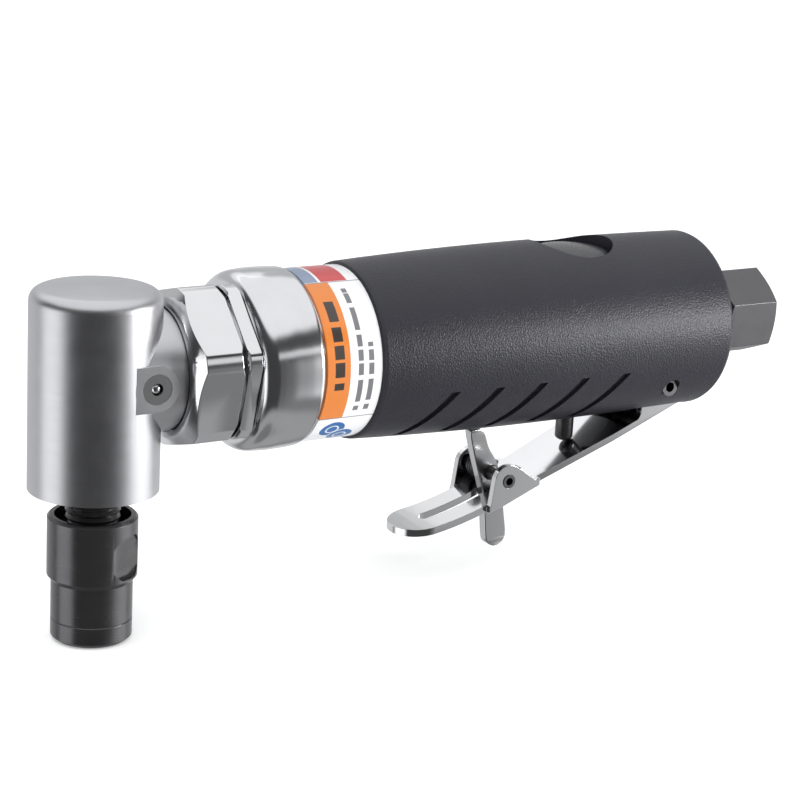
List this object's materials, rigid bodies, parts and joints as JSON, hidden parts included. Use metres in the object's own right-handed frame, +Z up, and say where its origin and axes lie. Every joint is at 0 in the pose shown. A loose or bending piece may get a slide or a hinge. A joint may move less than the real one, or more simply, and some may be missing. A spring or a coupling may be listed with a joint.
{
  "type": "right-angle air die grinder",
  "caption": "Right-angle pneumatic die grinder: bevel head with collet nut, hex coupling, polished collar, ribbed grip, safety throttle lever, air inlet.",
  "frame": {"origin": "centre of the collet mouth, in the plane of the collet nut's lower face, on the spindle axis", "axes": "+Z up the spindle towards the head; +X from the head along the handle to the air inlet; +Y across the handle"},
  "size_m": [0.177, 0.0396, 0.0738],
  "materials": {
    "satin_aluminium": "satin",
    "polished_aluminium": "polished",
    "chrome": "polished",
    "black_oxide_steel": "satin black oxide",
    "bright_steel": "ground",
    "dark_steel": "dark",
    "grip_polymer": "fine pebble",
    "knob_polymer": "smooth matte",
    "vane_composite": "matte",
    "black_plastic": "matte",
    "seal_rubber": "matte",
    "brass": "machined",
    "muffler_felt": "felt",
    "label_film": "printed film"
  },
  "bodies": {
    "handle": {"angle_head": "satin_aluminium", "grease_fitting": "bright_steel", "grease_ball": "bright_steel", "bearing_retainer": "dark_steel", "lower_spindle_bearing": "bright_steel", "upper_spindle_bearing": "bright_steel", "front_pinion_bearing": "bright_steel", "rear_pinion_bearing": "bright_steel", "bearing_spacer": "dark_steel", "coupling_nut": "chrome", "lock_nut": "chrome", "motor_housing": "polished_aluminium", "info_label": "label_film", "wave_washer": "bright_steel", "front_end_plate": "dark_steel", "front_rotor_bearing": "bright_steel", "motor_cylinder": "bright_steel", "cylinder_dowel": "bright_steel", "rear_end_plate": "dark_steel", "rear_rotor_bearing": "bright_steel", "grip_sleeve": "grip_polymer", "lever_pivot_pin": "bright_steel", "valve_seat": "brass", "valve_spring": "bright_steel", "plunger_bush": "brass", "exhaust_muffler": "muffler_felt", "exhaust_deflector": "black_plastic", "inlet_screen": "bright_steel", "inlet_bushing": "dark_steel"},
    "output_spindle": {"spindle": "black_oxide_steel", "bevel_gear": "dark_steel", "collet": "bright_steel", "collet_nut": "black_oxide_steel"},
    "motor_rotor": {"rotor": "bright_steel", "rotor_vanes": "vane_composite", "bevel_pinion": "dark_steel"},
    "lever": {"throttle_lever": "chrome", "lock_pin": "bright_steel", "lock_spring": "dark_steel"},
    "lock": {"lock_lever": "bright_steel"},
    "plunger": {"throttle_plunger": "black_oxide_steel", "plunger_o_ring": "seal_rubber"},
    "tilt_valve": {"throttle_valve": "bright_steel", "valve_face_seal": "seal_rubber"},
    "regulator": {"regulator_knob": "knob_polymer", "regulator_o_ring": "seal_rubber"}
  },
  "joints": [
    {"name": "rotor_turn", "type": "hinge", "parent": "handle", "child": "motor_rotor", "pos_m": [0.065, 0, 0.054], "axis": [1, 0, 0], "continuous": true},
    {"name": "spindle_turn", "type": "hinge", "parent": "handle", "child": "output_spindle", "pos_m": [0, 0, 0.035], "axis": [0, 0, 1], "continuous": true},
    {"name": "throttle", "type": "hinge", "parent": "handle", "child": "lever", "pos_m": [0.1297, 0, 0.0427], "axis": [0, 1, 0], "range_deg": [0, 10]},
    {"name": "lock_fold", "type": "hinge", "parent": "lever", "child": "lock", "pos_m": [0.0938, 0, 0.0232], "axis": [0, -1, 0], "range_deg": [0, 60]},
    {"name": "plunger_slide", "type": "slide", "parent": "handle", "child": "plunger", "axis": [0, 0, 1], "range_m": [0, 0.0035]},
    {"name": "valve_tilt", "type": "hinge", "parent": "handle", "child": "tilt_valve", "pos_m": [0.121, 0, 0.049], "axis": [0, 1, 0], "range_deg": [0, 8]},
    {"name": "regulator_turn", "type": "hinge", "parent": "handle", "child": "regulator", "pos_m": [0.1115, 0, 0.066], "axis": [0, 0, 1], "range_deg": [0, 90]}
  ],
  "couplings": [
    {"joint": "spindle_turn", "follows": "rotor_turn", "ratio": 0.8},
    {"joint": "lock_fold", "follows": "throttle", "ratio": 6},
    {"joint": "plunger_slide", "follows": "throttle", "m_per_rad": 0.02},
    {"joint": "valve_tilt", "follows": "throttle", "ratio": 0.8}
  ]
}
